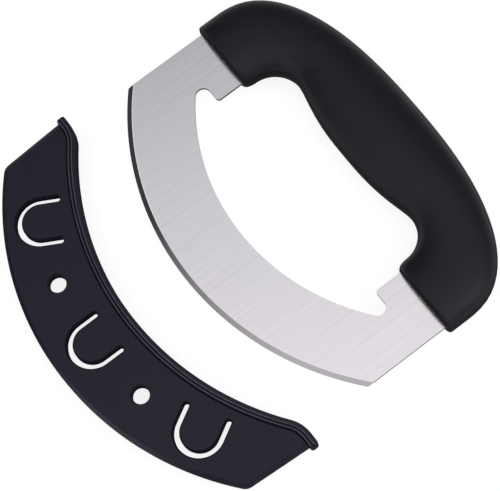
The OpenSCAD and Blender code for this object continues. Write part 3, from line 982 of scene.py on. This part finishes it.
def u_ring(bm, s, z, half_width):
    """A ring of edges round a U with rounded ends, of a given half width."""
    part = bmesh.new()
    start = part.verts.new((0, -s.bend_radius - half_width, z))
    far = verts_of(spin(part, [start], (0, 0, 0), math.pi / 2, U_BEND_STEPS))
    far = run_to(part, far, Vector((0, s.straight, 0)))
    far = verts_of(spin(part, far, (s.bend_radius, s.straight, 0), math.pi, U_END_STEPS))
    far = run_to(part, far, Vector((0, -s.straight, 0)))
    spin(part, far, (0, 0, 0), -math.pi / 2, U_BEND_STEPS)
    mirror_outline(part)
    outline = bpy.data.meshes.new("outline")
    part.to_mesh(outline)
    part.free()
    before = len(bm.edges)
    bm.from_mesh(outline)
    bpy.data.meshes.remove(outline)
    bm.edges.ensure_lookup_table()
    return bm.edges[before:]


def row_tool(shape, row, turn, half, slope, make_ring):
    """A cutter of rings at its levels, in its place on a row about the edge's centre."""
    bm = bmesh.new()
    close_rings(bm, [make_ring(bm, shape.s, z, wide) for z, wide in cut_levels(shape.s, half, slope)])
    centre = Matrix.Translation(shape.centre + Vector((0, 0, MID_Z)))
    turned = Matrix.Rotation(turn, 4, "Z") @ Matrix.Translation((0, -row, 0))
    bmesh.ops.transform(bm, matrix=centre @ turned, verts=bm.verts)
    return new_object("row_tool", bm)


def make_cover_mesh(settings):
    """The whole cover: plate and lip, hollowed, with its three tongues and two holes."""
    shape = CoverShape(settings)
    cover = plate_object(shape)
    boolean(cover, [lip_object(shape)], "UNION")
    tongue = (settings.slot_width / 2, settings.slot_slope, u_ring)
    hole = (settings.hole_diameter / 2, settings.hole_slope, hole_ring)
    tongue_turn = settings.tongue_step / settings.end_row
    hole_turn = settings.hole_step / settings.hole_row
    cutters = [slot_tool(shape), row_tool(shape, settings.mid_row, 0.0, *tongue)]
    for side in (-1, 1):
        cutters.append(row_tool(shape, settings.end_row, side * tongue_turn, *tongue))
    for side in (-1, 1):
        cutters.append(row_tool(shape, settings.hole_row, side * hole_turn, *hole))
    boolean(cover, cutters, "DIFFERENCE")
    cover.name = "moulded_cover"
    cover.data.name = cover.name
    return cover


# Operators


class MEZZALUNA_OT_blade(bpy.types.Operator):
    """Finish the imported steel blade"""

    bl_idname = "mezzaluna.blade"
    bl_label = "Finish Blade"

    def execute(self, context):
        paint("blade", brushed_steel(context.scene.mezzaluna_blade))
        return {"FINISHED"}


class MEZZALUNA_OT_core(bpy.types.Operator):
    """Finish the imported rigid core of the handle"""

    bl_idname = "mezzaluna.core"
    bl_label = "Finish Core"

    def execute(self, context):
        paint("handle_core", core_plastic(context.scene.mezzaluna_grip))
        return {"FINISHED"}


class MEZZALUNA_OT_grip(bpy.types.Operator):
    """Model the soft hand grip"""

    bl_idname = "mezzaluna.grip"
    bl_label = "Make Grip"

    def execute(self, context):
        settings = context.scene.mezzaluna_grip
        grip = make_grip_mesh(settings)
        boolean(grip, [solid_copy("handle_core"), solid_copy("blade")], "DIFFERENCE")
        smooth(grip)
        finish_piece(grip, "knife", "handle_grip", soft_skin(settings))
        return {"FINISHED"}


class MEZZALUNA_OT_cover(bpy.types.Operator):
    """Model the moulded blade cover"""

    bl_idname = "mezzaluna.cover"
    bl_label = "Make Cover"

    def execute(self, context):
        settings = context.scene.mezzaluna_cover
        cover = make_cover_mesh(settings)
        smooth(cover, plain_level=True)
        finish_piece(cover, "cover", "blade_cover", satin_plastic(settings))
        return {"FINISHED"}


def lamp(name, at, aim, size, strength):
    """A square lamp that gives a plain, even light of a given strength where it is seen."""
    data = bpy.data.lights.new(name, "AREA")
    data.shape = "SQUARE"
    data.size = size
    data.energy = strength * math.pi * size * size
    made = add_object(name, data)
    made.location = at
    made.rotation_euler = (Vector(aim) - Vector(at)).to_track_quat("-Z", "Y").to_euler()


# The two lamps: name, place, aim and size
KEY_LAMP = ("key", (-0.06, -1.14, 0.60), (0.0, 0.0, 0.0), 0.60)
FILL_LAMP = ("fill", (0.46, 0.28, 0.36), (0.02, 0.0, 0.0), 0.30)
# Where the overhead light is brightest, and where it starts and is full, as cosines from there
OVERHEAD = Vector((0.22, -0.09, 0.97)).normalized()
LIGHT_START, LIGHT_FULL = 0.635, 0.90


def make_world(settings):
    """Plain light from above that falls off softly towards the sides."""
    world = bpy.data.worlds.new("studio")
    tree = empty_tree(world)
    direction = tree.nodes.new("ShaderNodeTexCoord").outputs["Generated"]
    near = put(tree, "VectorMath", {"operation": "DOT_PRODUCT"}, in_0=direction, in_1=OVERHEAD)
    strength = spread(tree, near.outputs["Value"], LIGHT_START, LIGHT_FULL,
                      settings.side, settings.overhead)
    light = put(tree, "Background", Color=(1.0, 1.0, 1.0, 1.0), Strength=strength)
    put(tree, "OutputWorld", Surface=light.outputs[0])
    bpy.context.scene.world = world


def floor_material(settings):
    """A pale floor that reads as white to the camera and in reflections, and keeps its shadows."""
    material = bpy.data.materials.new("pale_floor")
    tree = empty_tree(material)
    path = tree.nodes.new("ShaderNodeLightPath").outputs
    seen = math_of(tree, "MAXIMUM", path["Is Camera Ray"], path["Is Glossy Ray"])
    seen = math_of(tree, "MAXIMUM", seen, path["Is Transmission Ray"])
    tone = settings.floor_tone
    pale = put(tree, "BsdfDiffuse", Color=(tone, tone, tone, 1.0)).outputs[0]
    lift = put(tree, "Emission", Color=(1.0, 1.0, 1.0, 1.0),
               Strength=product(tree, seen, settings.floor_lift)).outputs[0]
    both = put(tree, "AddShader", in_0=pale, in_1=lift).outputs[0]
    put(tree, "OutputMaterial", Surface=both)
    return material


def make_floor(settings):
    """A square floor under the object."""
    bm = bmesh.new()
    bmesh.ops.create_grid(bm, x_segments=1, y_segments=1, size=settings.floor_size / 2)
    floor = new_object("floor", bm)
    floor.data.materials.append(floor_material(settings))


def make_camera(settings):
    """The camera, aimed at a point and turned about its line of sight."""
    data = bpy.data.cameras.new("camera")
    data.sensor_width = 36.0
    data.lens = settings.focal
    data.clip_start = 0.01
    camera = add_object("camera", data)
    line = Vector(settings.look_at) - Vector(settings.camera_at)
    turn = line.to_track_quat("-Z", "Y").to_matrix().to_4x4()
    roll = Matrix.Rotation(-settings.roll, 4, "Z")
    camera.matrix_world = Matrix.Translation(settings.camera_at) @ turn @ roll
    bpy.context.scene.camera = camera


class MEZZALUNA_OT_stage(bpy.types.Operator):
    """Set the floor, the light and the camera"""

    bl_idname = "mezzaluna.stage"
    bl_label = "Set Stage"

    def execute(self, context):
        settings = context.scene.mezzaluna_stage
        make_floor(settings)
        make_world(settings)
        lamp(*KEY_LAMP, settings.key)
        lamp(*FILL_LAMP, settings.fill)
        make_camera(settings)
        context.scene.view_settings.view_transform = "Standard"
        return {"FINISHED"}


class MEZZALUNA_PT_panel(bpy.types.Panel):
    """Lists what this script makes"""

    bl_idname = "MEZZALUNA_PT_panel"
    bl_label = "Chopping Knife and Cover"
    bl_space_type = "VIEW_3D"
    bl_region_type = "UI"
    bl_category = "Knife"

    def draw(self, context):
        for name, operator in PARTS:
            box = self.layout.box()
            box.operator(operator.bl_idname)
            settings = getattr(context.scene, name)
            for key in settings.__annotations__:
                box.prop(settings, key)


SETTINGS = {
    "mezzaluna_blade": BladeSettings,
    "mezzaluna_grip": GripSettings,
    "mezzaluna_cover": CoverSettings,
    "mezzaluna_stage": StageSettings,
}
PARTS = (
    ("mezzaluna_blade", MEZZALUNA_OT_blade),
    ("mezzaluna_grip", MEZZALUNA_OT_core),
    ("mezzaluna_grip", MEZZALUNA_OT_grip),
    ("mezzaluna_cover", MEZZALUNA_OT_cover),
    ("mezzaluna_stage", MEZZALUNA_OT_stage),
)
CLASSES = (*SETTINGS.values(), *(operator for _, operator in PARTS), MEZZALUNA_PT_panel)


def register():
    for made in CLASSES:
        bpy.utils.register_class(made)
    for name, group in SETTINGS.items():
        setattr(bpy.types.Scene, name, bpy.props.PointerProperty(type=group))


def unregister():
    for name in SETTINGS:
        delattr(bpy.types.Scene, name)
    for made in reversed(CLASSES):
        bpy.utils.unregister_class(made)


def main():
    """Makes every piece and the stage."""
    register()
    bpy.ops.mezzaluna.blade()
    bpy.ops.mezzaluna.core()
    bpy.ops.mezzaluna.grip()
    bpy.ops.mezzaluna.cover()
    bpy.ops.mezzaluna.stage()


if __name__ == "__main__":
    main()
